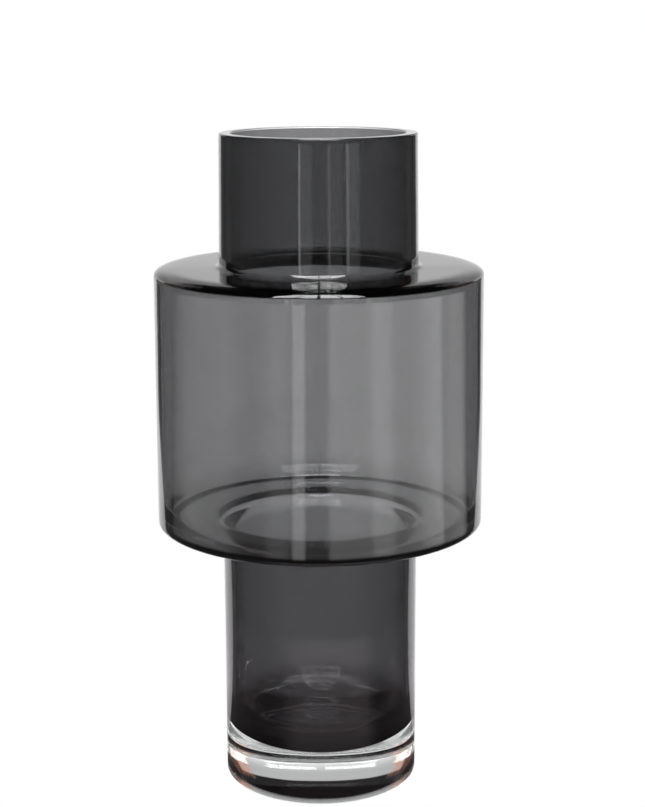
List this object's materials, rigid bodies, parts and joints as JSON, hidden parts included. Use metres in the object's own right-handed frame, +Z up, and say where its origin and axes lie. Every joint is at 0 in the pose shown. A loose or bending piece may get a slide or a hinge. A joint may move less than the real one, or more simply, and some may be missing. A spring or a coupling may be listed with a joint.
{
  "type": "glass cylinder vase",
  "caption": "Stepped cylinder vase in cased glass: open neck, wide drum body with flat shoulder, and narrow foot with a thick clear base.",
  "frame": {"origin": "centre of the underside, in the plane of the ground ring that the vase stands on", "axes": "+Z up along the vase's axis, towards the open rim; X and Y are any two directions across it, because the vase is round"},
  "size_m": [0.2012, 0.2012, 0.405],
  "materials": {
    "smoke_glass": "fire-polished smoke-grey glass, transparent",
    "clear_glass": "polished clear glass, faintly wavy from hand blowing",
    "clear_base_glass": "thick polished clear glass with a ground ring to stand on"
  },
  "bodies": {
    "root": {"smoke_lining": "smoke_glass", "neck_casing": "clear_glass", "drum_casing": "clear_glass", "foot_casing": "clear_glass", "clear_base": "clear_base_glass"}
  },
  "joints": []
}
